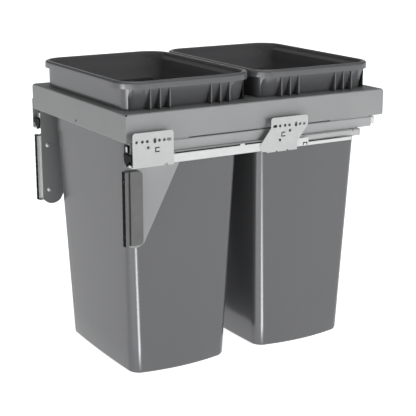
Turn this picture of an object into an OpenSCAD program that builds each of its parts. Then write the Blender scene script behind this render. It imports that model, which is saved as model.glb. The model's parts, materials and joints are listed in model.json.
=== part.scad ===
// Pull-out bin frame for a base cabinet.
// Two lift-out bins hang by their collars in a folded steel frame. The frame
// runs on two full-extension runners, whose plates screw to the cabinet sides,
// and two brackets at its front corners carry the cabinet door.
// Front is -Y, right is +X and up is +Z. The origin is on the floor of the
// bins' undersides, midway between the runners and midway along the frame.

/* [Frame] */
// Outside width of the frame
frame_w = 388; // [376:1:460]
// Outside depth of the frame, front to back
frame_d = 530; // [528:1:600]
// Height of the frame's top face above the undersides of the bins
frame_top = 482; // [440:1:520]
// Height of the frame's walls
frame_h = 48; // [40:1:60]
// Thickness of the frame's sheet
frame_t = 1.5; // [1:0.1:2.5]
// Outside radius of the folds in the frame
frame_fold = 2.5; // [2.5:0.1:4]
// Width of the flange folded in along the bottom of each side
side_foot = 26; // [25:1:30]
// Width of the flange folded in along the bottom of the front and rear
end_foot = 16; // [10:1:20]
// Depth of the legs folded down from the bar between the bins
bar_leg = 20; // [10:1:40]
// Radius of the notch that relieves each upper corner of the frame
relief_r = 2; // [1:0.1:3]
// Distance of that notch's middle below the frame's top face
relief_down = 0.8; // [0:0.1:4]
// Radius of the fixing hole in the middle of the front wall
front_hole_r = 2.5; // [1.5:0.1:4]
// Height of that hole above the frame's lower edge
front_hole_up = 8; // [6:0.5:20]

/* [Bins] */
// How far the rims stand in from the left and right of the frame
rim_in_w = 16; // [4:0.5:24]
// How far the rims stand in from the front and rear of the frame
rim_in_d = 5.2; // [1:0.1:12]
// Width of a bin's underside, before the bulge of its sides
base_w = 258; // [240:1:300]
// Depth of a bin's underside, before the bulge of its sides
base_d = 192; // [180:1:220]
// How far the left and right sides bulge at the bottom
bulge_side = 12; // [4:0.5:14]
// How far the front and rear bulge at the bottom
bulge_end = 3.5; // [1:0.5:8]
// Corner radius of the body
body_r = 18; // [14:1:24]
// Radius of the edge round the underside
foot_r = 5; // [3:0.5:8]
// Wall thickness of the bins
bin_wall = 2.8; // [2:0.1:3.5]
// How far the collar stands in from the rim, left and right
collar_in_w = 5.5; // [3:0.5:10]
// How far the collar stands in from the rim, front and rear
collar_in_d = 10.8; // [6:0.2:12]
// How far the top of the body stands in from the collar, left and right
body_in_w = 19.5; // [18:0.5:24]
// How far the top of the body stands in from the collar, front and rear
body_in_d = 4.5; // [4:0.5:8]
// Corner radius of the collar
collar_r = 30; // [24:1:36]
// Height of the collar between the frame and the rim
collar_h = 36; // [20:1:60]
// Height of the rim's outer band
rim_h = 12.4; // [8:0.2:20]
// Corner radius of the rim
rim_r = 46; // [36:1:56]
// Width of the rim's top face
rim_land = 8.5; // [6:0.5:10]
// Distance between the rims of the two bins
rim_gap = 2.4; // [1:0.2:8]
// Distance from a bin's middle to its innermost rib
rib_first = 40; // [30:1:50]
// Distance from one rib to the next
rib_pitch = 18.4; // [14:0.2:20]
// Number of ribs in each group
rib_count = 3; // [2:1:4]
// Thickness of a rib
rib_t = 2.4; // [1.6:0.1:4]
// How far each side of the collar leans in down to the frame
collar_lean = 16; // [8:0.5:17]

/* [Runners] */
// Space between the frame's side and the cabinet rail's outer wall
reach = 12; // [10:0.5:20]
// Height of a runner from the rail's underside to the frame's underside
runner_h = 37; // [35:0.5:42]
// Thickness of the rail and the middle member
rail_t = 1.5; // [1:0.1:2]
// Outside radius of the folds in the runner's members
rail_fold = 2.4; // [2.1:0.1:3]
// Inside width of the channel of the cabinet rail
rail_in_w = 26.5; // [24:0.5:28]
// Height of the rail's outer wall
rail_wall_h = 15; // [11:0.5:16]
// Height of the rail's inner wall
rail_inner_h = 12; // [8:0.5:16]
// Distance from the rear end of the cabinet rail to the frame's rear
rail_back = 81; // [70:1:100]
// Length of the rail's tall outer wall, from its front end
rail_wall_l = 346.5; // [345:0.5:400]
// Height of the lip that carries on behind the tall wall
rail_lip_h = 6.3; // [3:0.1:8]
// Distance from the frame's front to the front end of the rail
rail_inset = 7; // [6.5:0.5:12]
// Distance from the rail's front end to the small tab on its outer wall
tab_y = 204; // [100:1:240]
// Length of that tab
tab_l = 9; // [4:1:20]
// Distance from the rear end of the middle member to the frame's rear
middle_back = 76; // [60:1:90]
// Distance from the front end of the rail to the front end of the middle member
middle_in = 4; // [3.5:0.5:6]
// Length of the end piece behind the middle member
tail_l = 19; // [12:1:24]
// How far that end piece hangs below the middle member
tail_drop = 1.8; // [0:0.1:2]
// Distance from the rear end of the drawer member to the frame's rear
drawer_back = 27; // [20:1:40]
// Distance from the frame's front to the front end of the drawer member
drawer_inset = 8; // [5:0.5:12]
// Height of the drawer member
drawer_h = 17.5; // [15:0.5:20]
// Outside width of the drawer member
drawer_w = 18; // [16:0.5:20]
// Thickness of the lands that space the drawer member from the frame
land_h = 1.2; // [0.6:0.1:2]
// Length of the front land
front_land_l = 110; // [30:1:120]
// Length of the rear land
rear_land_l = 91; // [30:1:120]
// Diameter of the rollers in the cages
roller_d = 4.6; // [4:0.1:5]
// Clearance above and below a roller
roller_gap = 0.3; // [0.3:0.01:0.4]
// Number of rollers in a cage
roller_count = 6; // [3:1:8]
// Distance from one roller to the next
roller_pitch = 34; // [12:1:36]
// Width left free on each side of the middle member's lower box
side_gap = 4.25; // [3:0.05:4.5]
// Width left free on each side of the middle member's upper box
top_side_gap = 3; // [2.4:0.1:3.5]
// Height of the lower cage's wing on the rail's outer side
lower_wing_h = 14; // [12:0.5:15]
// Height of the lower cage's wing on its inner side
inner_wing_h = 8.5; // [6:0.5:9]
// How far the wings of the lower cage reach ahead of its rollers
lower_lead = 58; // [6:1:60]
// Height of the wings on each side of the upper cage
upper_wing_h = 13; // [6:0.5:14]
// Clearance between sliding pieces
slide_gap = 0.4; // [0.3:0.05:0.6]
// Thickness of the bumper in front of the rail
bumper_t = 3; // [2:0.1:3.2]
// Distance from the frame's side in to the tip of the bumper's nose
nose_in = 8; // [6:0.5:10]
// How far the bumper's nose hangs below the rail
nose_drop = 1.2; // [0.5:0.1:2]
// Width of the hook at the front end of the rail
hook_w = 9; // [6:0.5:10]
// How far that hook reaches below the rail
hook_drop = 2.6; // [1.5:0.1:4]
// How far the frame pulls out of the cabinet
travel = 500; // [300:10:500]

/* [Cabinet plates] */
// Thickness of the plates
plate_t = 1.5; // [1.2:0.1:2.5]
// Height of the plates' top edge above the frame's underside
plate_up = 19.5; // [14:0.5:30]
// Length of the front plate
plate_l = 75.5; // [70:0.5:90]
// Distance from the frame's front to the front plate
plate_inset = 4.5; // [4:0.5:12]
// Length of the rear plate's top edge
rear_top_l = 77.5; // [76:0.5:90]
// Distance from the rear plate's first hole to the front of its top edge
rear_lead = 11.5; // [9:0.5:14]
// How far the rear plate leans forward on its way down
rear_lean = 22.5; // [10:0.5:24]
// Radius of the scallops under the rear plate
scallop_r = 9.3; // [7:0.1:10]
// Distance from one scallop to the next
scallop_pitch = 22.5; // [20:0.5:23]
// Length of the gap in the front plate's lip
lip_gap = 7; // [4:0.5:10]
// Distance from that gap to the rear edge of the front plate
lip_gap_back = 11; // [8:0.5:16]
// Distance from a hole in the front plate to its twin in the rear plate
plate_pitch = 280; // [256:8:288]
// Corner radius of the plates
plate_r = 5; // [2:0.5:10]
// Radius of the rear plate's lower front corner
rear_foot_r = 9; // [6:0.5:10]
// Distance from the plates' top edge to the row of screw holes
row_down = 15; // [12:0.5:18]
// Radius of a screw hole
screw_hole_r = 2.6; // [2:0.1:3.2]
// Length of a slotted hole beyond its width
slot_extra = 3.4; // [2:0.2:5]
// Size of the tongue punched in each plate
tongue_size = 8.5; // [6:0.5:10]
// How far the plates' lower lip reaches under the rail
lip_w = 7; // [5:0.5:12]

/* [Door brackets] */
// Thickness of the gusset that hangs from each side of the frame
gusset_t = 1.5; // [1:0.1:2.5]
// Depth of the gusset where it meets the frame
gusset_d = 128.5; // [100:0.5:160]
// How far the gusset hangs below the frame
gusset_drop = 184; // [180:1:220]
// Width of the gusset's lower end
gusset_foot = 32.5; // [30:0.5:36]
// Radius of the bow along that lower end
gusset_r = 22.5; // [22:0.5:26]
// Distance from the gusset's front edge to the middle of that bow
gusset_bow_y = 19.5; // [18:0.5:22]
// Space between the gusset and the drawer member
gusset_gap = 2; // [1:0.1:4]
// Thickness of the angle that carries the door
angle_t = 1.5; // [1.2:0.1:2]
// Depth of the angle's side flange
angle_d = 24; // [20:0.5:25]
// Height of the angle
angle_h = 124; // [110:1:130]
// Distance from the frame's underside to the top of the angle
angle_down = 50; // [46:0.5:54]
// How far the angle's face stands ahead of the frame
face_ahead = 0.8; // [0.5:0.1:4]
// Depth of the step from that face back to the gusset
face_step = 6; // [5:0.1:8]
// Width of that face with the edge of the cover beside it
face_w = 9; // [8.8:0.1:11]
// Distance from the frame's side in to the outer side of that face
face_in = 5.3; // [4:0.1:5.5]
// Distance between the two door screws
door_pitch = 96; // [64:32:96]
// Radius of a door screw's hole
door_hole_r = 2.1; // [1.8:0.1:2.2]
// Distance between the two screws through the gusset
gusset_screw_pitch = 87; // [60:1:96]
// Distance from the gusset's front edge to those screws
gusset_screw_in = 13; // [12:0.5:14]
// Radius of a gusset screw
gusset_screw_r = 2.5; // [2:0.1:3]
// Wall thickness of the cover on the angle
cover_t = 1.6; // [1.2:0.1:1.8]
// Distance from the gusset's front edge to the back of the cover
cover_d = 27; // [26.5:0.5:30]
// Corner radius of the cover
cover_r = 7; // [4:0.5:8]
// Width and depth of the groove down the cover's outer side
groove_w = 4; // [3:0.5:4.5]
// Thickness of the strip that cushions the door
strip_t = 1; // [0.6:0.1:1.5]

/* [Hidden] */
$fn = 48;
e = 0.01;

// Frame, worked out from the bins that hang in it
frame_low = frame_top - frame_h;
front_y = -frame_d / 2;
side_x = frame_w / 2;
// Clearance round the body where it hangs in the frame, and under the collar
hang_gap = 2.5;
rest_gap = 0.3;
rim_w = frame_w - 2 * rim_in_w;
rim_d = (frame_d - rim_gap) / 2 - rim_in_d;
collar_w = rim_w - 2 * collar_in_w;
collar_d = rim_d - 2 * collar_in_d;
body_w = collar_w - 2 * body_in_w;
body_d = collar_d - 2 * body_in_d;
open_w = body_w + 2 * hang_gap;
open_d = body_d + 2 * hang_gap;
open_r = 8;
bin_y = (rim_d + rim_gap) / 2;
open_end = bin_y + open_d / 2;
bar_w = 2 * bin_y - open_d;
side_land = side_x - open_w / 2;
end_land = frame_d / 2 - open_end;

// Heights of a bin
collar_low = frame_top + rest_gap;
rim_low = collar_low + collar_h;
bin_top = rim_low + rim_h;

// Runner, worked out from the frame's side and underside
rail_out = side_x + reach + rail_t;
rail_low = frame_low - runner_h;
rail_w = rail_in_w + 2 * rail_t;
rail_mid = rail_out - rail_w / 2;
rail_front = front_y + rail_inset;
rail_l = frame_d - rail_inset - rail_back;
floor_top = rail_low + rail_t;
drawer_top = frame_low - land_h;
drawer_low = drawer_top - drawer_h;
drawer_mid = side_x - drawer_w / 2;
drawer_front = front_y + drawer_inset;
drawer_l = frame_d - drawer_inset - drawer_back;
middle_low = floor_top + roller_d + 2 * roller_gap;
middle_top = drawer_top - rail_t - roller_d - 2 * roller_gap;
middle_step = drawer_low - slide_gap;
middle_low_w = rail_in_w - 2 * side_gap;
middle_top_w = drawer_w - 2 * rail_t - 2 * top_side_gap;
middle_front = rail_front + middle_in;
middle_l = -front_y - middle_back - middle_front;
roller_run = roller_pitch * (roller_count - 1);
// How far a cage reaches past its last roller, and the room round a roller
cage_end = 6;
window_gap = 0.1;
// End pieces of the drawer member and the middle member
drawer_tail_l = 7.5;
drawer_tail_in = 3;
tail_slit_y = 2;
tail_slit_w = 1.6;
tail_slit_h = 4;
tail_nose_l = 2;
nose_x = side_x - nose_in;
cage_floor = roller_d - 2 * slide_gap;
// Space between the hook and the lip of the front plate
hook_gap = 0.5;
// The tongue cut in the rail's outer wall: its length, height and place
end_cut_l = 9.5;
end_cut_h = 5.6;
end_cut_up = 4.4;
end_cut_back = 6.95;
lower_cage_y = (rail_front + middle_front + middle_l) / 2;
upper_cage_y = (middle_front + drawer_front + drawer_l) / 2;

// Cabinet plates
plate_low = rail_low - plate_t;
plate_top = frame_low + plate_up;
plate_front = front_y + plate_inset;
row_z = plate_top - row_down;
row_first = 7;
round_holes = [row_first, row_first + 10.5, row_first + 19.5, row_first + 42, row_first + 51];
tall_slot_y = row_first + 33.5;
wide_slot_y = row_first + 60;
rear_first = plate_front + plate_pitch;

// Spare holes and tongues of the plates: how far behind the front edge or the
// first hole, and how far below the row
front_spares = [[row_first + 21, 10.5]];
front_tongue = [row_first + 38, 15.2];
rear_spares = [[row_first + 21, 10], [row_first, 25]];
rear_tongue = [row_first + 7, 15.2];
rear_slot_y = -3.3;
tongue_kerf = 2;
scallop_count = 3;
scallop_drop = 2;
knee_up = 12;

// Door brackets
door_y = front_y - face_ahead;
gusset_y = door_y + face_step;
gusset_out = side_x - drawer_w - gusset_gap;
face_out = side_x - face_in;
face_inner = face_out - face_w;
door_hole_x = (face_inner + angle_t + face_out - cover_t) / 2;
angle_top = frame_low - angle_down;
angle_mid = angle_top - angle_h / 2;
cover_h = angle_h + 2 * cover_t;
gusset_screw_y = gusset_y + gusset_screw_in;
// Clearance round a screw, and between the cover and the angle's side flange
screw_gap = 0.1;
cover_gap = 0.5;
// Nuts and screw heads, as multiples of the screw's radius
nut_h = 1.2;
nut_r = 1.7;
head_r = 1.9;
head_h = 0.8;
// Notches along both edges of the strip
strip_notch_r = 1;
strip_notches = 10;

// A rectangle with round corners, made of true arcs
module round_rect(w, h, r) {
  square([w - 2 * r, h], center = true);
  square([w, h - 2 * r], center = true);
  for (x = [-1, 1], y = [-1, 1])
    translate([x * (w / 2 - r), y * (h / 2 - r)]) circle(r);
}

// The outline of a sheet of thickness t, folded as it goes. Each step is a
// straight length and the quarter turn after it: 1 left, -1 right, 0 none.
module folded(steps, t, r, i = 0) {
  if (i < len(steps)) {
    run = steps[i][0];
    turn = steps[i][1];
    square([run + (turn == 0 ? 0 : e / 10), t]);
    if (turn == 1)
      translate([run, r]) {
        quarter(r, r - t, -90);
        translate([r, 0]) rotate(90) folded(steps, t, r, i + 1);
      }
    if (turn == -1)
      translate([run, t - r]) {
        quarter(r, r - t, 0);
        translate([r - t, 0]) rotate(-90) folded(steps, t, r, i + 1);
      }
  }
}

// A quarter of a ring, from the given angle on
module quarter(outer, inner, from) {
  rotate(from) intersection() {
    difference() {
      circle(outer);
      circle(inner);
    }
    square(outer + 1);
  }
}

// Turns an outline in X and Z into a bar that runs along Y
module along_y(from, to) {
  translate([0, to, 0]) rotate([90, 0, 0]) linear_extrude(to - from) children();
}

// Turns an outline in Y and Z into a plate that faces X
module plate_x(from, thick) {
  translate([from, 0, 0]) rotate([90, 0, 90]) linear_extrude(thick) children();
}

// A pill-shaped hole, longer than its width by the given lengths
module slot_outline(r, wide, tall) {
  for (x = [-1, 1], y = [-1, 1]) translate([x * wide / 2, y * tall / 2]) circle(r);
  square([wide + (tall > 0 ? 2 * r : 0), tall + (tall > 0 ? 0 : 2 * r)], center = true);
}

// Frame

// The folded section of one wall: foot, wall and land, with its outer face at 0
module wall_section(foot, land) {
  translate([-foot, 0])
    folded([[foot - frame_fold, 1], [frame_h - 2 * frame_fold, 1], [land - frame_fold, 0]],
      frame_t, frame_fold);
}

// The notch that relieves the folds at each upper corner
module corner_reliefs() {
  for (x = [-1, 1], y = [-1, 1])
    translate([x * side_x, y * frame_d / 2, frame_top - relief_down])
      rotate([0, 90, atan2(y, x)]) cylinder(r = relief_r, h = 6 * relief_r, center = true);
}

module frame_end(sign) {
  color([0.62, 0.64, 0.65]) difference() {
    intersection() {
      translate([0, sign * frame_d / 2, frame_low]) rotate([0, 0, sign * 90])
        along_y(-side_x, side_x) wall_section(end_foot, end_land);
      translate([0, 0, frame_low - 1]) linear_extrude(frame_h + 2)
        polygon([[-side_x, sign * frame_d / 2], [side_x, sign * frame_d / 2],
          [open_w / 2, sign * open_end], [-open_w / 2, sign * open_end]]);
    }
    corner_reliefs();
    if (sign < 0)
      translate([0, front_y - 1, frame_low + front_hole_up]) rotate([-90, 0, 0])
        cylinder(r = front_hole_r, h = 6);
  }
}

module frame_front() { frame_end(-1); }

module frame_rear() { frame_end(1); }

module frame_side() {
  color([0.66, 0.68, 0.69]) difference() {
    intersection() {
      translate([side_x, 0, frame_low])
        along_y(front_y, -front_y) wall_section(side_foot, side_land);
      translate([0, 0, frame_low - 1]) linear_extrude(frame_h + 2)
        polygon([[side_x, front_y], [side_x, -front_y], [open_w / 2, open_end],
          [open_w / 2, -open_end]]);
    }
    corner_reliefs();
  }
}

module frame_side_right() { frame_side(); }

module frame_side_left() { mirror([1, 0, 0]) frame_side(); }

// The bar between the bins, folded down along both edges
module frame_bar() {
  color([0.62, 0.64, 0.65])
    translate([0, 0, frame_top]) rotate([0, 0, 90])
      along_y(-open_w / 2, open_w / 2)
        translate([-bar_w / 2, -bar_leg]) rotate(90) mirror([0, 1])
          folded([[bar_leg - frame_fold, 1], [bar_w - 2 * frame_fold, 1],
            [bar_leg - frame_fold, 0]], frame_t, frame_fold);
}

// Bins

// Points round a rectangle with round corners, whose sides may bulge
corner_steps = 6;
side_steps = 5;
function bulged(p, w, d, bx, by) =
  [p[0] + sign(p[0]) * bx * max(0, 1 - pow(2 * p[1] / d, 2)),
   p[1] + sign(p[1]) * by * max(0, 1 - pow(2 * p[0] / w, 2))];
function corner_points(w, d, r, k) =
  let (sx = (k == 0 || k == 3) ? 1 : -1, sy = k < 2 ? 1 : -1)
  [for (i = [0:corner_steps])
    let (a = 90 * k + 90 * i / corner_steps)
    [sx * (w / 2 - r) + r * cos(a), sy * (d / 2 - r) + r * sin(a)]];
function side_points(from, to) =
  [for (i = [1:side_steps]) from + (to - from) * i / (side_steps + 1)];
function ring_points(w, d, r) =
  let (c = [for (k = [0:3]) corner_points(w, d, r, k)])
  [for (k = [0:3]) each concat(c[k], side_points(c[k][corner_steps], c[(k + 1) % 4][0]))];
function ring(z, w, d, r, bx = 0, by = 0) =
  [for (p = ring_points(w, d, r)) let (q = bulged(p, w, d, bx, by)) [q[0], q[1], z]];

// A closed solid through a stack of rings, from the bottom up
module loft(rings) {
  n = len(rings[0]);
  walls = [for (k = [0:len(rings) - 2], i = [0:n - 1])
    let (a = k * n + i, b = k * n + (i + 1) % n)
    each [[a, a + n, b], [b, a + n, b + n]]];
  top = (len(rings) - 1) * n;
  middle = len(rings) * n;
  low = [for (i = [0:n - 1]) [middle, i, (i + 1) % n]];
  high = [for (i = [0:n - 1]) [middle + 1, top + (i + 1) % n, top + i]];
  polyhedron([for (r = rings) each r, [0, 0, rings[0][0][2]], [0, 0, rings[len(rings) - 1][0][2]]],
    concat(low, walls, high));
}

// One ring of the body, drawn in by the given wall, at a share of its height
function body_ring(z, wall) =
  let (s = z / collar_low, u = 1 - s)
  ring(z, base_w * u + body_w * s - 2 * wall, base_d * u + body_d * s - 2 * wall,
    body_r - wall, bulge_side * u, bulge_end * u);

// One ring of the funnel that widens from the body to the collar's upper edge
function funnel_ring(z, wall) =
  let (s = (z - collar_low) / collar_h, u = 1 - s)
  ring(z, (collar_w - 2 * collar_lean) * u + collar_w * s - 2 * wall,
    (collar_d - bin_wall) * u + collar_d * s - 2 * wall,
    (body_r + collar_r) / 2 * u + collar_r * s - wall);

rib_last = rib_first + (rib_count - 1) * rib_pitch;

// The upright skirt round the funnel, left out between the outermost ribs
module skirt() {
  difference() {
    loft([ring(collar_low, collar_w, collar_d, collar_r),
      ring(rim_low + e, collar_w, collar_d, collar_r)]);
    loft([ring(collar_low - 1, collar_w - 2 * bin_wall, collar_d - 2 * bin_wall, collar_r - bin_wall),
      ring(rim_low + 1, collar_w - 2 * bin_wall, collar_d - 2 * bin_wall, collar_r - bin_wall)]);
    translate([0, 0, (collar_low + rim_low) / 2])
      cube([collar_w + 2, 2 * rib_last, collar_h + 2], center = true);
  }
}

// The ribs stand on the frame and carry the rim
module ribs() {
  for (m = [0, 1], s = [-1, 1], k = [0:rib_count - 1])
    mirror([m, 0, 0])
      translate([collar_w / 2 - collar_lean - bin_wall / 2,
        s * (rib_first + k * rib_pitch) - rib_t / 2, collar_low])
        cube([collar_lean + bin_wall / 2, rib_t, collar_h + e]);
}

module bin() {
  groove = rim_land - bin_wall;
  color([0.42, 0.43, 0.45]) difference() {
    union() {
      loft([
        ring(0, base_w - 2 * foot_r, base_d - 2 * foot_r, body_r - foot_r, bulge_side, bulge_end),
        ring(foot_r * 0.3, base_w - foot_r * 0.6, base_d - foot_r * 0.6, body_r - foot_r * 0.3,
          bulge_side, bulge_end),
        body_ring(foot_r, 0), body_ring(collar_low + e, 0)]);
      loft([funnel_ring(collar_low, 0), funnel_ring(rim_low + e, 0)]);
      skirt();
      ribs();
      difference() {
        loft([ring(rim_low, rim_w, rim_d, rim_r), ring(bin_top - 1.5, rim_w, rim_d, rim_r),
          ring(bin_top, rim_w - 3, rim_d - 3, rim_r - 1.5)]);
        difference() {
          loft([ring(rim_low - 1, rim_w - 2 * bin_wall, rim_d - 2 * bin_wall, rim_r - bin_wall),
            ring(bin_top - bin_wall, rim_w - 2 * bin_wall, rim_d - 2 * bin_wall, rim_r - bin_wall)]);
          loft([ring(rim_low - 2, rim_w - 2 * groove, rim_d - 2 * groove, rim_r - groove),
            ring(bin_top, rim_w - 2 * groove, rim_d - 2 * groove, rim_r - groove)]);
        }
      }
    }
    loft([
      body_ring(bin_wall, bin_wall + foot_r * 0.6), body_ring(bin_wall + foot_r * 0.6, bin_wall),
      body_ring(collar_low - 1, bin_wall), funnel_ring(collar_low + 3 * bin_wall, bin_wall),
      funnel_ring(rim_low, bin_wall),
      ring(rim_low + 2 * bin_wall, rim_w - 2 * rim_land, rim_d - 2 * rim_land, rim_r - rim_land),
      ring(bin_top + 1, rim_w - 2 * rim_land, rim_d - 2 * rim_land, rim_r - rim_land)]);
  }
}

module bin_front() { translate([0, -bin_y, 0]) bin(); }

module bin_rear() { translate([0, bin_y, 0]) bin(); }

// Runners, drawn on the right and mirrored to the left

// The rail is a channel, open at the top. Its tall outer wall ends part way.
module cabinet_rail() {
  wall_end = rail_front + rail_wall_l;
  color([0.8, 0.82, 0.82]) {
    difference() {
      rail_run(rail_front, wall_end, rail_wall_h);
      plate_x(rail_out - rail_t - 1, rail_t + 2)
        translate([wall_end - end_cut_back, rail_low + end_cut_up]) rotate(-90)
          tongue_cut(end_cut_h, end_cut_l);
    }
    rail_run(wall_end, rail_front + rail_l, rail_lip_h);
    plate_x(rail_out - rail_t, rail_t) translate([rail_front + tab_y, rail_low + rail_wall_h - e])
      square([tab_l, middle_step - rail_low - rail_wall_h]);
    along_y(rail_front - rail_t, rail_front + e)
      translate([rail_out - lip_w - hook_gap - hook_w, rail_low - hook_drop])
        square([hook_w, hook_drop + rail_t]);
  }
}

// A stretch of the rail's channel, whose outer wall has the given height
module rail_run(from, to, wall_h) {
  along_y(from, to) translate([rail_out - rail_w, rail_low + rail_inner_h]) rotate(-90)
    folded([[rail_inner_h - rail_fold, 1], [rail_w - 2 * rail_fold, 1], [wall_h - rail_fold, 0]],
      rail_t, rail_fold);
}

// The cut round three sides of a punched tongue, open to the right
module tongue_cut(long, wide) {
  difference() {
    square([long, wide], center = true);
    translate([tongue_kerf, 0]) square([long, wide - 2 * tongue_kerf], center = true);
  }
}

module cabinet_rail_right() { cabinet_rail(); }

module cabinet_rail_left() { mirror([1, 0, 0]) cabinet_rail(); }

// The row of screw holes, the spare hole and the punched tongue of a plate,
// counted from the first hole
module plate_holes(spare, tongue) {
  for (y = round_holes) translate([y, row_z]) circle(screw_hole_r);
  translate([tall_slot_y, row_z]) slot_outline(screw_hole_r, 0, slot_extra);
  for (p = spare) translate([p[0], row_z - p[1]]) circle(screw_hole_r);
  translate([tongue[0], row_z - tongue[1]]) tongue_cut(tongue_size, tongue_size);
}

// The lip under the rail, folded in from the plate
module plate_lip(from, to) {
  along_y(from, to) translate([rail_out - lip_w, plate_low]) square([lip_w + plate_t, plate_t]);
}

module front_plate() {
  high = plate_top - plate_low;
  gap_from = plate_front + plate_l - lip_gap_back - lip_gap;
  color([0.86, 0.87, 0.87]) {
    plate_x(rail_out, plate_t) difference() {
      union() {
        translate([plate_front + plate_l / 2, plate_low + high / 2])
          round_rect(plate_l, high, plate_r);
        translate([plate_front, plate_low]) square([plate_l, high / 2]);
      }
      translate([plate_front, 0]) {
        plate_holes(front_spares, front_tongue);
        translate([wide_slot_y, row_z]) slot_outline(screw_hole_r, slot_extra, 0);
      }
      translate([gap_from, plate_low - 1]) square([lip_gap, plate_t + 2]);
    }
    plate_lip(plate_front, gap_from);
    plate_lip(gap_from + lip_gap, plate_front + plate_l);
  }
}

module front_plate_right() { front_plate(); }

module front_plate_left() { mirror([1, 0, 0]) front_plate(); }

// The rear plate leans forward below the row of holes
module rear_plate() {
  low_from = -rear_lead - rear_lean;
  top_to = rear_top_l - rear_lead;
  low_to = top_to - rear_lean;
  knee = plate_low + knee_up;
  slant_top = row_z - screw_hole_r;
  color([0.86, 0.87, 0.87]) translate([0, rear_first, 0]) {
    plate_x(rail_out, plate_t) difference() {
      union() {
        translate([rear_top_l / 2 - rear_lead, row_z + row_down / 2 - 2])
          round_rect(rear_top_l, row_down + 4, plate_r);
        polygon([[low_from, plate_low + rear_foot_r], [low_from, knee], [-rear_lead, slant_top],
          [-rear_lead, row_z], [top_to, row_z], [top_to, slant_top], [low_to, knee],
          [low_to, plate_low], [low_from + rear_foot_r, plate_low]]);
        translate([low_from + rear_foot_r, plate_low + rear_foot_r]) circle(rear_foot_r);
        for (k = [0:scallop_count - 1])
          translate([low_to - scallop_r - k * scallop_pitch, plate_low]) circle(scallop_r);
      }
      plate_holes(rear_spares, rear_tongue);
      translate([rear_slot_y, row_z]) slot_outline(screw_hole_r, slot_extra, 0);
      translate([low_from, plate_low - scallop_drop - scallop_r])
        square([rear_top_l + 1, scallop_r]);
    }
    plate_lip(low_from + rear_foot_r, low_to - plate_r);
  }
}

module rear_plate_right() { rear_plate(); }

module rear_plate_left() { mirror([1, 0, 0]) rear_plate(); }

// The middle member's wide lower box, drawn in by the given inset
module lower_box(inset) {
  translate([rail_mid, (middle_low + middle_step) / 2])
    round_rect(middle_low_w - 2 * inset, middle_step - middle_low - 2 * inset, rail_fold - inset);
}

// The middle member's narrow upper box
module upper_box(inset) {
  translate([drawer_mid, (middle_step - rail_fold * 2 + middle_top) / 2])
    round_rect(middle_top_w - 2 * inset, middle_top - middle_step + rail_fold * 2 - 2 * inset,
      rail_fold - inset);
}

// The narrow box is closed in front
module middle_member() {
  color([0.74, 0.76, 0.76]) {
    along_y(middle_front, middle_front + middle_l) difference() {
      union() {
        lower_box(0);
        upper_box(0);
      }
      lower_box(rail_t);
      upper_box(rail_t);
    }
    along_y(middle_front, middle_front + rail_t) upper_box(rail_t / 2);
  }
}

module middle_member_right() { middle_member(); }

module middle_member_left() { mirror([1, 0, 0]) middle_member(); }

// The plastic bumper plugs the middle member's front end. Its nose meets the
// front end of the rail when the frame is pushed home.
module middle_bumper() {
  stop_y = rail_front - rest_gap;
  inner = rail_out - rail_w;
  color([0.07, 0.07, 0.075]) {
    along_y(stop_y - e, middle_front) lower_box(0);
    along_y(stop_y - bumper_t, stop_y)
      polygon([[inner - 2, middle_step], [inner - 1, middle_low + 1], [nose_x - 3, rail_low + 1],
        [nose_x - 1, rail_low - nose_drop], [nose_x + 2, rail_low - nose_drop],
        [nose_x + 4.5, middle_low - 3.5], [nose_x + 11, middle_low + 2],
        [rail_out - 3, middle_low + 3], [rail_out - 3, middle_step]]);
  }
}

module middle_bumper_right() { middle_bumper(); }

module middle_bumper_left() { mirror([1, 0, 0]) middle_bumper(); }

// The end piece in the middle member's rear end, with a slit and a short nose
module middle_tail() {
  from = middle_front + middle_l;
  to = from + tail_l;
  color([0.8, 0.82, 0.82]) {
    difference() {
      along_y(from, to) {
        lower_box(0);
        translate([0, -tail_drop]) lower_box(0);
      }
      translate([rail_mid, from + tail_slit_y, middle_step - tail_slit_h])
        cube([middle_low_w, tail_slit_w, tail_slit_h + 1]);
    }
    along_y(to - e, to + tail_nose_l)
      translate([rail_mid, middle_low + rail_fold + 0.5]) round_rect(middle_low_w / 2, 4, 1);
  }
}

module middle_tail_right() { middle_tail(); }

module middle_tail_left() { mirror([1, 0, 0]) middle_tail(); }

// The drawer member is a channel, open at the bottom, on lands under the frame
module drawer_member() {
  color([0.66, 0.68, 0.69]) {
    along_y(drawer_front, drawer_front + drawer_l)
      translate([drawer_mid - drawer_w / 2, drawer_low]) rotate(90) mirror([0, 1])
        folded([[drawer_h - rail_fold, 1], [drawer_w - 2 * rail_fold, 1], [drawer_h - rail_fold, 0]],
          rail_t, rail_fold);
    drawer_land(drawer_front, drawer_front + front_land_l);
    drawer_land(drawer_front + drawer_l - rear_land_l, drawer_front + drawer_l);
  }
}

module drawer_land(from, to) {
  along_y(from, to) translate([drawer_mid - drawer_w / 2 + rail_fold, drawer_top])
    square([drawer_w - 2 * rail_fold, land_h]);
}

module drawer_member_right() { drawer_member(); }

module drawer_member_left() { mirror([1, 0, 0]) drawer_member(); }

module drawer_tail() {
  y = drawer_front + drawer_l;
  color([0.8, 0.82, 0.82])
    along_y(y, y + drawer_tail_l) difference() {
      translate([drawer_mid, drawer_top - (drawer_h - drawer_tail_in) / 2])
        round_rect(drawer_w, drawer_h - drawer_tail_in, rail_fold);
      translate([drawer_mid - drawer_w / 2 + rail_t, drawer_low])
        square([drawer_w - 2 * rail_t, drawer_h - 2 * rail_t]);
    }
}

module drawer_tail_right() { drawer_tail(); }

module drawer_tail_left() { mirror([1, 0, 0]) drawer_tail(); }

// The places of the rollers along a cage
function roller_places(mid) =
  [for (k = [0:roller_count - 1]) mid - roller_run / 2 + k * roller_pitch];

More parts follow.
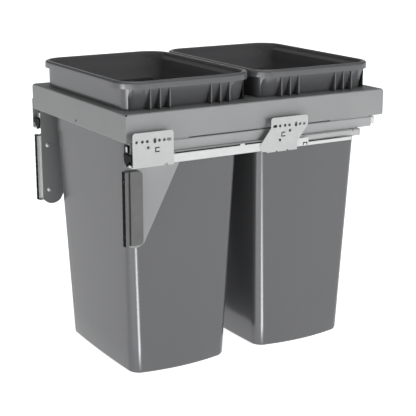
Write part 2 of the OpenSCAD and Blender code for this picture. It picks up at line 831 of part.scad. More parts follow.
// Length of a roller that fits between the wings of its cage
function roller_l(inner_w, wing) = inner_w - 2 * wing - 3;

// A cage is a shallow channel of plastic with a window for each roller. It
// reaches ahead of its rollers by the given lead.
module cage(mid, lead, x, base_z, inner_w, wing, wing_hs, up) {
  low = base_z + roller_d / 2 + roller_gap - cage_floor / 2;
  color([0.1, 0.1, 0.11]) difference() {
    along_y(mid - roller_run / 2 - lead, mid + roller_run / 2 + cage_end + roller_d / 2)
      translate([x, 0]) {
        translate([-inner_w / 2, low]) square([inner_w, cage_floor]);
        for (s = [0, 1])
          translate([s * (inner_w - wing) - inner_w / 2, up ? low : low + cage_floor - wing_hs[s]])
            square([wing, wing_hs[s]]);
      }
    for (y = roller_places(mid))
      translate([x, y, base_z + roller_gap + roller_d / 2])
        cube([roller_l(inner_w, wing) + 2 * window_gap, roller_d + 2 * window_gap, roller_d],
          center = true);
  }
}

module rollers(mid, x, base_z, length) {
  color([0.7, 0.7, 0.72]) for (y = roller_places(mid))
    translate([x, y, base_z + roller_gap + roller_d / 2]) rotate([0, 90, 0])
      cylinder(d = roller_d, h = length, center = true);
}

lower_w = rail_in_w - 2 * slide_gap;
lower_wing = side_gap - 2 * slide_gap;
upper_w = drawer_w - 2 * rail_t - 2 * slide_gap;
upper_wing = top_side_gap - 2 * slide_gap;

module lower_cage_right() {
  cage(lower_cage_y, lower_lead, rail_mid, floor_top, lower_w, lower_wing,
    [inner_wing_h, lower_wing_h], true);
}

module lower_cage_left() { mirror([1, 0, 0]) lower_cage_right(); }

module upper_cage_right() {
  cage(upper_cage_y, cage_end + roller_d / 2, drawer_mid, middle_top, upper_w, upper_wing,
    [upper_wing_h, upper_wing_h], false);
}

module upper_cage_left() { mirror([1, 0, 0]) upper_cage_right(); }

module lower_rollers_right() {
  rollers(lower_cage_y, rail_mid, floor_top, roller_l(lower_w, lower_wing));
}

module lower_rollers_left() { mirror([1, 0, 0]) lower_rollers_right(); }

module upper_rollers_right() {
  rollers(upper_cage_y, drawer_mid, middle_top, roller_l(upper_w, upper_wing));
}

module upper_rollers_left() { mirror([1, 0, 0]) upper_rollers_right(); }

// Door brackets

module gusset() {
  low = frame_low - gusset_drop;
  color([0.64, 0.66, 0.66]) plate_x(gusset_out - gusset_t, gusset_t) difference() {
    polygon([[gusset_y, low], [gusset_y, frame_low], [gusset_y + gusset_d, frame_low],
      [gusset_y + gusset_foot, low]]);
    difference() {
      translate([gusset_y - 1, low - 1]) square([gusset_d, gusset_r / 2 + 1]);
      translate([gusset_y + gusset_bow_y, low + gusset_r]) circle(gusset_r);
    }
    for (z = gusset_screw_heights()) translate([gusset_screw_y, z])
      circle(gusset_screw_r + screw_gap);
  }
}

function gusset_screw_heights() = [for (s = [-1, 1]) angle_mid + s * gusset_screw_pitch / 2];

module gusset_right() { gusset(); }

module gusset_left() { mirror([1, 0, 0]) gusset(); }

// The angle steps forward from the gusset to the face that carries the door
module door_angle() {
  color([0.78, 0.8, 0.8]) difference() {
    translate([0, 0, angle_top - angle_h]) linear_extrude(angle_h) {
      translate([gusset_out, gusset_y]) square([angle_t, angle_d]);
      translate([gusset_out, gusset_y]) square([face_inner + angle_t - gusset_out, angle_t]);
      translate([face_inner, door_y]) square([angle_t, face_step + angle_t]);
      translate([face_inner, door_y]) square([face_w - cover_t, angle_t]);
    }
    for (z = gusset_screw_heights()) translate([gusset_out - 1, gusset_screw_y, z])
      rotate([0, 90, 0]) cylinder(r = gusset_screw_r + screw_gap, h = angle_t + 2);
    for (s = [-1, 1])
      translate([door_hole_x, door_y - 1, angle_mid + s * door_pitch / 2])
        rotate([-90, 0, 0]) cylinder(r = door_hole_r, h = angle_t + 2);
  }
}

module door_angle_right() { door_angle(); }

module door_angle_left() { mirror([1, 0, 0]) door_angle(); }

// The cover is a shell round the outer and rear sides of the angle, with an
// upright groove down its outer side
module angle_cover() {
  inner_x = gusset_out + angle_t;
  back = gusset_y + cover_d;
  groove_x = face_out - groove_w;
  color([0.4, 0.41, 0.42]) difference() {
    plate_x(inner_x + cover_gap, face_out - inner_x - cover_gap)
      cover_outline(door_y, back, cover_h, cover_r);
    plate_x(groove_x, groove_w + 1) upright_band(gusset_y, gusset_y + groove_w, cover_h + 2);
    plate_x(inner_x, face_out - cover_t - inner_x) {
      upright_band(door_y - 1, gusset_y - cover_t, angle_h);
      cover_outline(gusset_y + groove_w + cover_t, back - cover_t, angle_h, cover_r - cover_t);
    }
    plate_x(inner_x, groove_x - cover_t - inner_x)
      upright_band(door_y - 1, gusset_y + groove_w + 2 * cover_t, angle_h);
  }
}

module upright_band(from, to, high) {
  translate([from, angle_mid - high / 2]) square([to - from, high]);
}

// Square in front and round at the back
module cover_outline(from, to, high, r) {
  translate([(from + to) / 2, angle_mid]) round_rect(to - from, high, r);
  upright_band(from, (from + to) / 2, high);
}

module angle_cover_right() { angle_cover(); }

module angle_cover_left() { mirror([1, 0, 0]) angle_cover(); }

// Two pan-head screws hold the angle to the gusset
module angle_screws() {
  nut = nut_h * gusset_screw_r;
  color([0.75, 0.76, 0.78]) for (z = gusset_screw_heights())
    translate([gusset_out, gusset_screw_y, z])
      rotate([0, 90, 0]) {
        translate([0, 0, -gusset_t]) cylinder(r = gusset_screw_r, h = gusset_t + angle_t + nut);
        translate([0, 0, angle_t]) cylinder(r = gusset_screw_r * nut_r, h = nut, $fn = 6);
        translate([0, 0, -gusset_t]) rotate([180, 0, 0]) screw_dome();
      }
}

// A cap cut from a ball, as wide and as high as a screw's head
module screw_dome() {
  wide = gusset_screw_r * head_r;
  high = gusset_screw_r * head_h;
  ball = (wide * wide + high * high) / (2 * high);
  rotate_extrude() intersection() {
    translate([0, high - ball]) circle(ball);
    square([wide, high]);
  }
}

module angle_screws_right() { angle_screws(); }

module angle_screws_left() { mirror([1, 0, 0]) angle_screws(); }

// The strip lies on the angle's face and lets the door screws through. Both
// of its edges are notched.
module door_strip() {
  pitch = cover_h / strip_notches;
  color([0.08, 0.08, 0.085])
    translate([face_inner, door_y, angle_mid]) rotate([90, 0, 0]) linear_extrude(strip_t)
      difference() {
        translate([0, -cover_h / 2]) square([face_w, cover_h]);
        for (x = [0, face_w], k = [0:strip_notches - 1])
          translate([x, (k + 0.5) * pitch - cover_h / 2]) circle(strip_notch_r);
        for (s = [-1, 1]) translate([door_hole_x - face_inner, s * door_pitch / 2])
          circle(door_hole_r + screw_gap);
      }
}

module door_strip_right() { door_strip(); }

module door_strip_left() { mirror([1, 0, 0]) door_strip(); }

frame_front();
frame_rear();
frame_side_left();
frame_side_right();
frame_bar();
bin_front();
bin_rear();
cabinet_rail_left();
cabinet_rail_right();
front_plate_left();
front_plate_right();
rear_plate_left();
rear_plate_right();
middle_member_left();
middle_member_right();
middle_bumper_left();
middle_bumper_right();
middle_tail_left();
middle_tail_right();
drawer_member_left();
drawer_member_right();
drawer_tail_left();
drawer_tail_right();
lower_cage_left();
lower_cage_right();
lower_rollers_left();
lower_rollers_right();
upper_cage_left();
upper_cage_right();
upper_rollers_left();
upper_rollers_right();
gusset_left();
gusset_right();
door_angle_left();
door_angle_right();
angle_cover_left();
angle_cover_right();
angle_screws_left();
angle_screws_right();
door_strip_left();
door_strip_right();
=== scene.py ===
"""Looks of a pull-out bin frame: two grey bins in a folded steel frame on runners."""
import json
import math

import bmesh
import bpy
from mathutils import Matrix, Vector
from mathutils.bvhtree import BVHTree


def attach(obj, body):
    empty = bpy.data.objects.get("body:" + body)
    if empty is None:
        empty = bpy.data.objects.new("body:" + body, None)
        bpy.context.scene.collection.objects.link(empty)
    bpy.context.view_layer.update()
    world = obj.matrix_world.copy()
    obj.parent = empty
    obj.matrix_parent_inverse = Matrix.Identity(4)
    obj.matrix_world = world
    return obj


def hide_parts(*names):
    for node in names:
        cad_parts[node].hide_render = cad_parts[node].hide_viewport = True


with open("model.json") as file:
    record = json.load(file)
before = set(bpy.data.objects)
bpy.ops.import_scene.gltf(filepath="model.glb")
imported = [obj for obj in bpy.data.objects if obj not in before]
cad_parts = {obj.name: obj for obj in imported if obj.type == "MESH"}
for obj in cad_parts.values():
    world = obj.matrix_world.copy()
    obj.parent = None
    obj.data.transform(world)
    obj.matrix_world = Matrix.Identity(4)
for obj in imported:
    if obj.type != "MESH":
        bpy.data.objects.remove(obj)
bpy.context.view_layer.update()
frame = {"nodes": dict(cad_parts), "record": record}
MM = 0.001
SIDES = (("left", -1), ("right", 1))
body_of = {}
for body, nodes in frame["record"]["behaviour"]["bodies"].items():
    for node in nodes:
        body_of[node] = body


# Camera: the photograph's own viewing angle, fitted to the object's straight edges

PHOTO_WIDTH_PX = 416
FOCAL_LENGTH_PX = 1161.628
SENSOR_WIDTH = 36
VIEW_AZIMUTH = 59.141
VIEW_PITCH = 14.969
# The fit was made in units of 1.06 mm
FIT_UNIT = 1.06 * MM
VIEW_DISTANCE = 2157.775
TARGET_ACROSS = 4.462
TARGET_UP = 224.923


def place_camera():
    azimuth, pitch = math.radians(VIEW_AZIMUTH), math.radians(VIEW_PITCH)
    level = math.cos(pitch)
    back = Vector((math.sin(azimuth) * level, -math.cos(azimuth) * level, math.sin(pitch)))
    right = Vector((math.cos(azimuth), math.sin(azimuth), 0))
    up = back.cross(right)
    target = right * TARGET_ACROSS * FIT_UNIT + up * TARGET_UP * FIT_UNIT
    camera = bpy.data.objects.new("camera", bpy.data.cameras.new("camera"))
    bpy.context.scene.collection.objects.link(camera)
    turn = Matrix((right, up, back)).transposed()
    camera.matrix_world = Matrix.Translation(target + back * VIEW_DISTANCE * FIT_UNIT) @ turn.to_4x4()
    camera.data.sensor_width = SENSOR_WIDTH
    camera.data.lens = FOCAL_LENGTH_PX * SENSOR_WIDTH / PHOTO_WIDTH_PX
    camera.data.clip_end = 30
    bpy.context.scene.camera = camera


place_camera()


# Finishes

class Field:
    """A number that varies over a surface: arithmetic on it adds Math nodes."""

    def __init__(self, graph, socket):
        self.graph = graph
        self.socket = socket

    def _join(self, operation, first, second):
        return self.graph.add("ShaderNodeMath", {"operation": operation}, {0: first, 1: second}).out()

    def __add__(self, other):
        return self._join("ADD", self, other)

    __radd__ = __add__

    def __mul__(self, other):
        return self._join("MULTIPLY", self, other)

    __rmul__ = __mul__

    def __sub__(self, other):
        return self._join("SUBTRACT", self, other)

    def __rsub__(self, other):
        return self._join("SUBTRACT", other, self)

    def __pow__(self, other):
        return self._join("POWER", self, other)

    def __rpow__(self, other):
        return self._join("POWER", other, self)

    def at_least(self, other):
        return self._join("MAXIMUM", self, other)


class Placed:
    """A node that has been added to a graph."""

    def __init__(self, graph, node):
        self.graph = graph
        self.node = node

    def out(self, name=0):
        return Field(self.graph, self.node.outputs[name])


class Graph:
    """A node tree and the ways to add to it."""

    def __init__(self, tree):
        self.tree = tree

    def add(self, kind, settings=None, inputs=None):
        node = self.tree.nodes.new(kind)
        for key, value in (settings or {}).items():
            if key == "stops":
                self.set_stops(node, value)
            else:
                setattr(node, key, value)
        for key, value in (inputs or {}).items():
            self.feed(node.inputs[key], value)
        return Placed(self, node)

    def set_stops(self, node, stops):
        ramp = node.color_ramp
        while len(ramp.elements) < len(stops):
            ramp.elements.new(0.5)
        for element, (place, colour) in zip(ramp.elements, stops):
            element.position = place
            element.color = colour

    def feed(self, socket, value):
        if isinstance(value, Field):
            self.tree.links.new(value.socket, socket)
        else:
            socket.default_value = value


class Finish(Graph):
    """One material, built from nodes."""

    def __init__(self, name, slot, **constants):
        self.material = bpy.data.materials.new(name)
        self.material.use_nodes = True
        super().__init__(self.material.node_tree)
        self.slot = slot
        self.surface = self.tree.nodes["Principled BSDF"]
        self.set(**constants)

    def set(self, **values):
        for socket, value in values.items():
            self.feed(self.surface.inputs[socket.replace("_", " ")], value)
        return self

    def place(self, scale=(1, 1, 1)):
        where = self.add("ShaderNodeTexCoord").out("Object")
        return self.add("ShaderNodeMapping", inputs={"Vector": where, "Scale": scale}).out()

    def noise(self, size, detail=3, rough=0.5, stretch=(1, 1, 1)):
        """Soft mottling whose patches are about size metres wide."""
        return self.add("ShaderNodeTexNoise", inputs={
            "Vector": self.place(stretch), "Scale": 1 / size, "Detail": detail, "Roughness": rough}).out(0)

    def shades(self, pattern, light, tint, *stops):
        """Greys of one tint. A stop is a place in the pattern and its share of the light."""
        greys = [(place, (*(light * share * t for t in tint), 1)) for place, share in stops]
        return self.add("ShaderNodeValToRGB", {"stops": greys}, {0: pattern}).out("Color")

    def bump(self, height, strength, depth):
        inputs = {"Strength": strength, "Distance": depth, "Height": height}
        return self.set(Normal=self.add("ShaderNodeBump", inputs=inputs).out("Normal"))


def powder_coat(name, light, roughness):
    """Satin powder coat: even colour, a fine orange-peel surface and faint rub marks."""
    paint = Finish(name, "frame_paint", Metallic=0.25, Specular_IOR_Level=0.4)
    patches = paint.noise(0.09, 4)
    peel = paint.noise(0.0009, 2, 0.4)
    rubs = paint.noise(0.012, 5, 0.7, (1, 0.15, 1))
    cool = (0.975, 1.0, 1.008)
    paint.set(Base_Color=paint.shades(patches, light, cool, (0.3, 0.96), (0.7, 1.03)),
              Roughness=roughness + (rubs - 0.5) * 0.12)
    return paint.bump(peel, 0.12, 0.0002)


def bin_plastic(name, light, roughness, metallic):
    """Silver-grey plastic with metal flakes, a fine moulded grain and slightly glossier patches."""
    plastic = Finish(name, "bin_plastic", Metallic=metallic, Specular_IOR_Level=0.5)
    flow = plastic.noise(0.16, 3, 0.5, (1, 1, 0.35))
    grain = plastic.noise(0.0011, 2, 0.6)
    scuffs = plastic.noise(0.03, 6, 0.7, (1, 1, 0.3))
    cool = (0.985, 0.995, 1.03)
    plastic.set(Base_Color=plastic.shades(flow, light, cool, (0.3, 0.97), (0.72, 1.03)),
                Roughness=roughness + (scuffs - 0.5) * 0.08)
    return plastic.bump(grain, 0.1, 0.00018)


def zinc(name, slot, light, roughness):
    """Zinc-plated strip: drawn lines along the runner and cloudy passivation."""
    metal = Finish(name, slot, Metallic=0.62, Specular_IOR_Level=0.5)
    clouds = metal.noise(0.018, 5, 0.6)
    drawn = metal.noise(0.0014, 3, 0.6, (1, 0.03, 1))
    cool = (0.99, 1.0, 1.0)
    metal.set(Base_Color=metal.shades(clouds, light, cool, (0.3, 0.94), (0.7, 1)),
              Roughness=roughness + (clouds - 0.5) * 0.16 + (drawn - 0.5) * 0.12)
    return metal.bump(drawn, 0.1, 0.0001)


def moulded(name, slot, light, roughness, gloss=0.4):
    """Small moulded plastic pieces with a spark-eroded texture."""
    plastic = Finish(name, slot, Specular_IOR_Level=gloss)
    grain = plastic.noise(0.0007, 2, 0.6)
    flow = plastic.noise(0.02, 3)
    plastic.set(Base_Color=plastic.shades(flow, light, (1, 1, 1), (0.3, 0.92), (0.7, 1.08)),
                Roughness=roughness + (grain - 0.5) * 0.1)
    return plastic.bump(grain, 0.2, 0.00015)


FRAME_PAINT = powder_coat("frame_powder_coat", 0.252, 0.42)
GUSSET_PAINT = powder_coat("gusset_powder_coat", 0.255, 0.42)
# The drawer members carry the frame's own paint, set lighter here as painted light against the shade under
# the frame.
MEMBER_PAINT_WITH_PAINTED_LIGHT = powder_coat("member_powder_coat_painted_light", 0.31, 0.42)
BIN_PLASTIC = bin_plastic("bin_plastic", 0.155, 0.19, 0.6)
# The bins' inside is the same plastic, with its base grey set darker as painted shade of the hollows.
BIN_INSIDE_PAINTED_SHADE = bin_plastic("bin_plastic_inside_painted_shade", 0.108, 0.55, 0.15)
RAIL_ZINC = zinc("rail_zinc", "rail_zinc", 0.72, 0.34)
# The middle members carry the rails' zinc, set darker here as painted shade of the channel they run in.
MIDDLE_ZINC_PAINTED_SHADE = zinc("middle_zinc_painted_shade", "rail_zinc", 0.52, 0.36)
PLATE_ZINC = zinc("plate_zinc", "plate_zinc", 0.58, 0.4)
ANGLE_ZINC = zinc("angle_zinc", "plate_zinc", 0.66, 0.38)
BLACK_PLASTIC = moulded("black_plastic", "black_plastic", 0.01, 0.5, 0.08)
ROLLER_PLASTIC = moulded("roller_plastic", "roller_plastic", 0.5, 0.35)
# A pale grey that stands in for a highlight at the drawer members' front ends: painted highlight.
PAINTED_HIGHLIGHT_PLASTIC = moulded("painted_highlight_plastic", "roller_plastic", 0.75, 0.35)
COVER_PLASTIC = moulded("cover_plastic", "cover_plastic", 0.1, 0.5)
STRIP_RUBBER = moulded("strip_rubber", "strip_rubber", 0.008, 0.75, 0.08)


# Making and finishing pieces

# How far joined solids reach into each other and cutters reach past what they cut, in mm
LAP = 0.5
PAST = 1


def mesh_from(bm, name):
    """The mesh of a bmesh, which is freed."""
    mesh = bpy.data.meshes.new(name)
    bm.to_mesh(mesh)
    bm.free()
    return mesh


def new_piece(name, mesh, finish):
    piece = bpy.data.objects.new(name, mesh)
    bpy.context.scene.collection.objects.link(piece)
    mesh.materials.clear()
    mesh.materials.append(finish.material)
    return piece


def stand_for(piece, node):
    """The piece is shown in place of this CAD node and moves with its body."""
    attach(piece, body_of[node])
    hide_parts(node)


def smooth(mesh, degrees=32):
    mesh.polygons.foreach_set("use_smooth", [True] * len(mesh.polygons))
    mesh.set_sharp_from_angle(angle=math.radians(degrees))


def rounded_edges(piece, width, segments):
    edges = piece.modifiers.new("rounded_edges", "BEVEL")
    edges.width = width
    edges.segments = segments
    edges.limit_method = "ANGLE"
    edges.angle_limit = math.radians(40)
    edges.harden_normals = True


def softened(node, finish, width, segments=2, merged=True):
    """A copy of a CAD node with its sheared or moulded edges rounded off to a width in mm."""
    bm = bmesh.new()
    bm.from_mesh(frame["nodes"][node].data)
    bmesh.ops.remove_doubles(bm, verts=bm.verts, dist=1e-6)
    if merged:
        bmesh.ops.dissolve_limit(bm, angle_limit=math.radians(0.6), verts=bm.verts, edges=bm.edges)
    mesh = mesh_from(bm, node + "_finished")
    for layer in [a.name for a in mesh.attributes if a.name == "custom_normal"]:
        mesh.attributes.remove(mesh.attributes[layer])
    smooth(mesh)
    piece = new_piece(node + "_finished", mesh, finish)
    rounded_edges(piece, width * MM, segments)
    stand_for(piece, node)


def ring(z, shape, bulge=(0, 0), corner=14, side=12):
    """Points round a rounded rectangle at height z, whose sides may bulge. All in mm."""
    w, d, r = shape
    points = []
    for k, (sx, sy) in enumerate(((1, 1), (-1, 1), (-1, -1), (1, -1))):
        start = math.pi / 2 * k
        for i in range(corner + 1):
            a = start + math.pi / 2 * i / corner
            points.append((sx * (w / 2 - r) + r * math.cos(a), sy * (d / 2 - r) + r * math.sin(a)))
        a = start + math.pi / 2
        here = points[-1]
        nx, ny = ((-1, 1), (-1, -1), (1, -1), (1, 1))[k]
        there = (nx * (w / 2 - r) + r * math.cos(a), ny * (d / 2 - r) + r * math.sin(a))
        for i in range(1, side):
            points.append(tuple(p + (q - p) * i / side for p, q in zip(here, there)))
    loop = []
    for x, y in points:
        out_x = math.copysign(bulge[0] * max(0.0, 1 - (2 * y / d) ** 2), x)
        out_y = math.copysign(bulge[1] * max(0.0, 1 - (2 * x / w) ** 2), y)
        loop.append(Vector((x + out_x, y + out_y, z)) * MM)
    return loop


def loft(name, rings):
    """A closed mesh through a stack of rings, from the bottom up."""
    bm = bmesh.new()
    loops = [[bm.verts.new(p) for p in loop] for loop in rings]
    n = len(loops[0])
    for low, high in zip(loops, loops[1:]):
        for i in range(n):
            bm.faces.new((low[i], low[(i + 1) % n], high[(i + 1) % n], high[i]))
    bm.faces.new(list(reversed(loops[0])))
    bm.faces.new(loops[-1])
    return mesh_from(bm, name)


def block(name, low, high):
    """A box between two corners, in mm."""
    bm = bmesh.new()
    bmesh.ops.create_cube(bm, size=1)
    for v in bm.verts:
        v.co = Vector([(a + b) / 2 + c * (b - a) for a, b, c in zip(low, high, v.co)]) * MM
    return mesh_from(bm, name)


def prism_x(name, outline, low, high):
    """A solid with an outline in Y and Z, drawn along X. All in mm."""
    bm = bmesh.new()
    near = [bm.verts.new(Vector((low, y, z)) * MM) for y, z in outline]
    far = [bm.verts.new(Vector((high, y, z)) * MM) for y, z in outline]
    n = len(outline)
    bm.faces.new(near)
    bm.faces.new(list(reversed(far)))
    for i in range(n):
        bm.faces.new((near[i], far[i], far[(i + 1) % n], near[(i + 1) % n]))
    bmesh.ops.recalc_face_normals(bm, faces=bm.faces)
    return mesh_from(bm, name)


def combined(base, operation, *others):
    """The mesh left after joining or cutting base with the other meshes."""
    piece = bpy.data.objects.new("work", base)
    bpy.context.scene.collection.objects.link(piece)
    tools = []
    for other in others:
        tool = bpy.data.objects.new("tool", other)
        bpy.context.scene.collection.objects.link(tool)
        tools.append(tool)
        step = piece.modifiers.new("step", "BOOLEAN")
        step.operation = operation
        step.solver = "EXACT"
        step.object = tool
    bpy.context.view_layer.update()
    shaped = bpy.data.meshes.new_from_object(piece.evaluated_get(bpy.context.evaluated_depsgraph_get()))
    for leftover in [piece, *tools]:
        bpy.data.objects.remove(leftover)
    return shaped


def quarter_turn(count):
    """The angles that divide a right angle into equal steps, both ends included."""
    return [math.pi / 2 * i / count for i in range(count + 1)]


# Bins. All sizes in mm. A shape is a width, a depth and the radius of the corners.

BODY = (306, 228, 18)
BASE = (258, 192, 18)
BULGE = (12, 3.5)
FOOT_ROUND = 5
WALL = 2.8
COLLAR = (345, 237, 30)
COLLAR_LOW = 482.3
# How far the collar's wall leans in behind the ribs
LEAN = 16
RIM = (356, 258.6, 46)
RIM_LOW = 518.3
RIM_ROUND = 4.2
TOP = 530.7
# Breadth of the rim from its outer edge to the mouth, and the roundings of the hollow below it
LAND = 8.5
HOLLOW_ROUND = 1
CORE_ROUND = 0.5
LIP_HEIGHT = 1.5
LIP_SPREAD = 1.7
# Places of the ribs on each half of a side, their thickness and how far they reach into the rim
RIBS = (40, 58.4, 76.8)
RIB_T = 2.4
RIB_LAP = 0.4
# Half the length of the skirt's opening along a side, and how its upper corners round
SIDE_OPEN = 112.6
OPEN_ROUND = (10, 15)
BIN_PLACES = (("bin_front", -130.5), ("bin_rear", 130.5))


def inset_by(shape, inset):
    """A shape drawn in on all sides."""
    w, d, r = shape
    return (w - 2 * inset, d - 2 * inset, r - inset)


def between(low, high, share):
    """A shape part of the way from one to another."""
    return tuple(a * (1 - share) + b * share for a, b in zip(low, high))


def body_ring(z, inset):
    share = z / COLLAR_LOW
    return ring(z, inset_by(between(BASE, BODY, share), inset), [b * (1 - share) for b in BULGE])


def bin_body():
    rings = []
    for a in quarter_turn(6)[:-1]:
        shape = inset_by(BASE, FOOT_ROUND * (1 - math.sin(a)))
        rings.append(ring(FOOT_ROUND * (1 - math.cos(a)), shape, BULGE))
    height = COLLAR_LOW + LAP - FOOT_ROUND
    return loft("body", rings + [body_ring(FOOT_ROUND + height * i / 10, 0) for i in range(11)])


def rounded_band(low, high, shape, top_r):
    """A band with upright sides whose upper edge is rounded."""
    rings = [ring(low, shape)]
    for a in quarter_turn(4):
        rings.append(ring(high - top_r + top_r * math.sin(a), inset_by(shape, top_r * (1 - math.cos(a)))))
    return loft("band", rings)


def funnel_ring(z, inset):
    """One ring of the funnel that widens from the body to the collar's upper edge."""
    share = (z - COLLAR_LOW) / (RIM_LOW - COLLAR_LOW)
    w, d, r = COLLAR
    low = (w - 2 * LEAN, d - WALL, (BODY[2] + r) / 2)
    high = (w - LAP, d - LAP, r)
    return ring(z, inset_by(between(low, high, share), inset))


def skirt():
    """The upright skirt at the collar's front and rear, open along each side between rounded corners."""
    high = RIM_LOW + LAP
    outer = loft("skirt", [ring(z, COLLAR) for z in (COLLAR_LOW, high)])
    inner = loft("inner", [ring(z, inset_by(COLLAR, WALL)) for z in (COLLAR_LOW - PAST, high + PAST)])
    edge = [(SIDE_OPEN, COLLAR_LOW - PAST)]
    for a in quarter_turn(8):
        in_y, down = (size * (1 - part) for size, part in zip(OPEN_ROUND, (math.cos(a), math.sin(a))))
        edge.append((SIDE_OPEN - in_y, high - LAP - down))
    edge.append((edge[-1][0], high + PAST))
    edge += [(-y, z) for y, z in reversed(edge)]
    reach = COLLAR[0] / 2 + PAST
    return combined(outer, "DIFFERENCE", inner, prism_x("opening", edge, -reach, reach))


def bin_rim():
    """The rim, whose outer edge turns down round a hollow."""
    band = rounded_band(RIM_LOW, TOP, RIM, RIM_ROUND)
    core = rounded_band(RIM_LOW - 2 * PAST, TOP, inset_by(RIM, LAND - WALL), CORE_ROUND)
    hollow = rounded_band(RIM_LOW - PAST, TOP - WALL, inset_by(RIM, WALL), HOLLOW_ROUND)
    return combined(band, "DIFFERENCE", combined(hollow, "DIFFERENCE", core))


def bin_ribs():
    inner = COLLAR[0] / 2 - LEAN - WALL / 2
    ribs = []
    for s in (-1, 1):
        low_x, high_x = sorted((s * inner, s * COLLAR[0] / 2))
        for y in [k * p for p in RIBS for k in (-1, 1)]:
            low = (low_x, y - RIB_T / 2, COLLAR_LOW)
            high = (high_x, y + RIB_T / 2, RIM_LOW + RIB_LAP)
            ribs.append(block("rib", low, high))
    return ribs


def bin_inside():
    """The space inside a bin, from its floor to past its mouth."""
    floor_round = FOOT_ROUND * 0.6
    floor = WALL + floor_round
    rings = [body_ring(WALL, floor), body_ring(WALL + floor_round * 0.3, WALL + floor_round * 0.3),
             body_ring(floor, WALL)]
    rings += [body_ring(floor + (COLLAR_LOW - 1 - floor) * i / 8, WALL) for i in range(1, 9)]
    step_low = COLLAR_LOW + 3 * WALL
    rings += [funnel_ring(step_low + (RIM_LOW - step_low) * i / 3, WALL) for i in range(4)]
    mouth = inset_by(RIM, LAND)
    lip = TOP - LIP_HEIGHT
    rings += [ring(z, mouth) for z in (RIM_LOW + 2 * WALL, lip)]
    for a in quarter_turn(4)[1:]:
        rings.append(ring(lip + LIP_HEIGHT * math.sin(a), inset_by(mouth, -LIP_SPREAD * (1 - math.cos(a)))))
    rings.append(ring(TOP + 0.1, inset_by(mouth, -LIP_SPREAD)))
    return loft("inside", rings)


def make_bins():
    """Both bins, glossy outside and matt inside, where the mould's core is left textured; the inside's base
    grey is also set darker, as painted shade.
    """
    funnel = loft("funnel", [funnel_ring(z, 0) for z in (COLLAR_LOW, RIM_LOW + LAP)])
    shell = combined(bin_body(), "UNION", funnel, skirt(), bin_rim(), *bin_ribs())
    inside = bin_inside()
    mesh = combined(shell, "DIFFERENCE", inside)
    smooth(mesh, 28)
    core = BVHTree.FromPolygons([v.co for v in inside.vertices], [p.vertices for p in inside.polygons])
    below_lip = (TOP - 2) * MM
    for name, y in BIN_PLACES:
        piece = new_piece(name + "_shell", mesh.copy(), BIN_PLASTIC)
        piece.data.materials.append(BIN_INSIDE_PAINTED_SHADE.material)
        for face in piece.data.polygons:
            distance = core.find_nearest(face.center)[3]
            face.material_index = int(face.center.z < below_lip and distance < 0.1 * MM)
        piece.data.transform(Matrix.Translation((0, y * MM, 0)))
        stand_for(piece, name)


make_bins()


# Sheet metal and small pieces, with their edges rounded off

for node in ("frame_front", "frame_rear", "frame_side_left", "frame_side_right", "frame_bar"):
    softened(node, FRAME_PAINT, 0.3)
for side, _ in SIDES:
    softened("drawer_member_" + side, MEMBER_PAINT_WITH_PAINTED_LIGHT, 0.25)
    softened("drawer_tail_" + side, RAIL_ZINC, 0.12, merged=False)
    softened("gusset_" + side, GUSSET_PAINT, 0.3)
    softened("cabinet_rail_" + side, RAIL_ZINC, 0.25)
    softened("middle_member_" + side, MIDDLE_ZINC_PAINTED_SHADE, 0.2)
    softened("middle_tail_" + side, MIDDLE_ZINC_PAINTED_SHADE, 0.3)
    softened("middle_bumper_" + side, BLACK_PLASTIC, 0.3)
    softened("front_plate_" + side, PLATE_ZINC, 0.12, merged=False)
    softened("rear_plate_" + side, PLATE_ZINC, 0.12, merged=False)
    softened("door_angle_" + side, ANGLE_ZINC, 0.35)
    softened("angle_screws_" + side, ANGLE_ZINC, 0.2)
    softened("angle_cover_" + side, COVER_PLASTIC, 0.5, 3)
    softened("door_strip_" + side, STRIP_RUBBER, 0.3)
    for cage in ("lower_cage_", "upper_cage_"):
        softened(cage + side, BLACK_PLASTIC, 0.2)
    for rollers in ("lower_rollers_", "upper_rollers_"):
        softened(rollers + side, ROLLER_PLASTIC, 0.2)


# A black frame round a pale pad at the front end of each drawer member: the black frame is painted shadow
# of the gaps there and the pale pad a painted highlight. Places in mm, on the right side.

CLIP_X = (176.4, 186.4)
CLIP_Z = (416.4, 428.4)
CLIP_FRONT, CLIP_REAR = -258.6, -256.9
CLIP_WALL = 1.5
PAD_FRONT = -258.2
PAD_SEAT = 0.1


def end_block(name, k, inset, front, rear):
    """A box in the outline of the black frame drawn in by inset, on side k."""
    low_x, high_x = sorted(k * x for x in CLIP_X)
    return block(name, (low_x + inset, front, CLIP_Z[0] + inset), (high_x - inset, rear, CLIP_Z[1] - inset))


def painted_shade_and_highlight_ends():
    """A black frame round a pale pad at the front end of each drawer member: painted shadow round a painted
    highlight.
    """
    for side, k in SIDES:
        window = end_block("window", k, CLIP_WALL, CLIP_FRONT - PAST, CLIP_REAR + PAST)
        clip = combined(end_block("clip", k, 0, CLIP_FRONT, CLIP_REAR), "DIFFERENCE", window)
        smooth(clip)
        pad = end_block("pad", k, CLIP_WALL - PAD_SEAT, PAD_FRONT, CLIP_REAR)
        # The black frame is painted shadow and the pale pad a painted highlight.
        for name, mesh, finish in (("end_clip_", clip, BLACK_PLASTIC), ("end_pad_", pad, PAINTED_HIGHLIGHT_PLASTIC)):
            piece = new_piece(name + side, mesh, finish)
            rounded_edges(piece, 0.3 * MM, 3)
            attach(piece, "carriage")


painted_shade_and_highlight_ends()


# Floor and light

FLOOR_REACH = 12
FLOOR_GAP = 0.8 * MM
# Azimuth, elevation and spread in degrees, and strength, of the studio's soft bright places
GLOWS = (
    (68, -27, 6, 9.0),
    (65, -35, 5, 5.0),
    (30, -30, 20, 0.25),
    (8, -7, 8, 3.8),
    (34, -5, 14, 1.0),
    (0, 90, 26, 1.0),
)


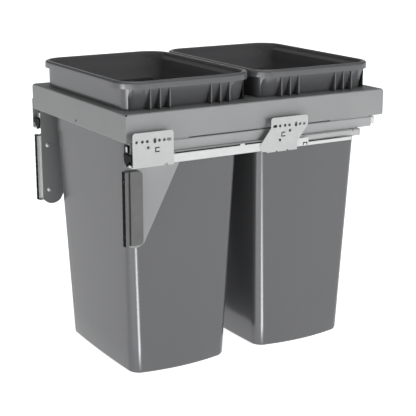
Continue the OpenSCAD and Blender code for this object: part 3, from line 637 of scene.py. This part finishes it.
def pale_floor():
    bm = bmesh.new()
    bmesh.ops.create_grid(bm, x_segments=1, y_segments=1, size=FLOOR_REACH)
    paper = Finish("pale_floor", None, Base_Color=(0.9, 0.9, 0.9, 1), Roughness=0.85,
                   Emission_Color=(1, 1, 1, 1), Emission_Strength=0.88)
    floor = new_piece("floor", mesh_from(bm, "floor"), paper)
    floor.location.z = -FLOOR_GAP
    floor.visible_glossy = False


def soft_box(name, place, aim, size, power):
    lamp = bpy.data.lights.new(name, "AREA")
    lamp.shape = "RECTANGLE"
    lamp.size, lamp.size_y = size
    lamp.energy = power
    box = bpy.data.objects.new(name, lamp)
    bpy.context.scene.collection.objects.link(box)
    box.location = place
    box.rotation_euler = (Vector(aim) - Vector(place)).to_track_quat("-Z", "Y").to_euler()
    box.visible_glossy = False


def towards(azimuth, elevation):
    """The direction of a place in the studio; azimuth turns from the object's front towards its right."""
    a, e = math.radians(azimuth), math.radians(elevation)
    return (math.sin(a) * math.cos(e), -math.cos(a) * math.cos(e), math.sin(e))


def studio():
    """A white room, dim overhead, with soft bright places and two lamps."""
    world = bpy.data.worlds.new("studio")
    bpy.context.scene.world = world
    world.use_nodes = True
    room = Graph(world.node_tree)
    where = room.add("ShaderNodeTexCoord").out("Generated")

    def along(direction):
        settings = {"operation": "DOT_PRODUCT"}
        return room.add("ShaderNodeVectorMath", settings, {0: where, 1: direction}).out("Value")

    def glow(azimuth, elevation, spread, strength):
        """A soft bright place, which is half as bright spread degrees from its middle."""
        power = math.log(0.5) / math.log(math.cos(math.radians(spread)))
        return along(towards(azimuth, elevation)).at_least(0) ** power * strength

    height = along((0, 0, 1))
    walls = room.add("ShaderNodeMapRange", inputs={
        "Value": height, "From Min": 0.02, "From Max": 0.22, "To Min": 1.0, "To Max": 0.2}).out()
    light = walls * (0.84 + along(towards(-59, 0)) * 0.13)
    for place in GLOWS:
        light = light + glow(*place)
    background = world.node_tree.nodes["Background"]
    room.feed(background.inputs["Strength"], light)
    room.feed(background.inputs["Color"], (1, 1, 1, 1))
    soft_box("side_box", (3.0, 0.6, 0.7), (0, 0, 0.35), (1.4, 1.2), 66)
    soft_box("top_box", (0.2, 0.2, 3.0), (0, 0, 0.3), (2.0, 2.0), 3)


pale_floor()
studio()
bpy.context.scene.view_settings.view_transform = "Standard"
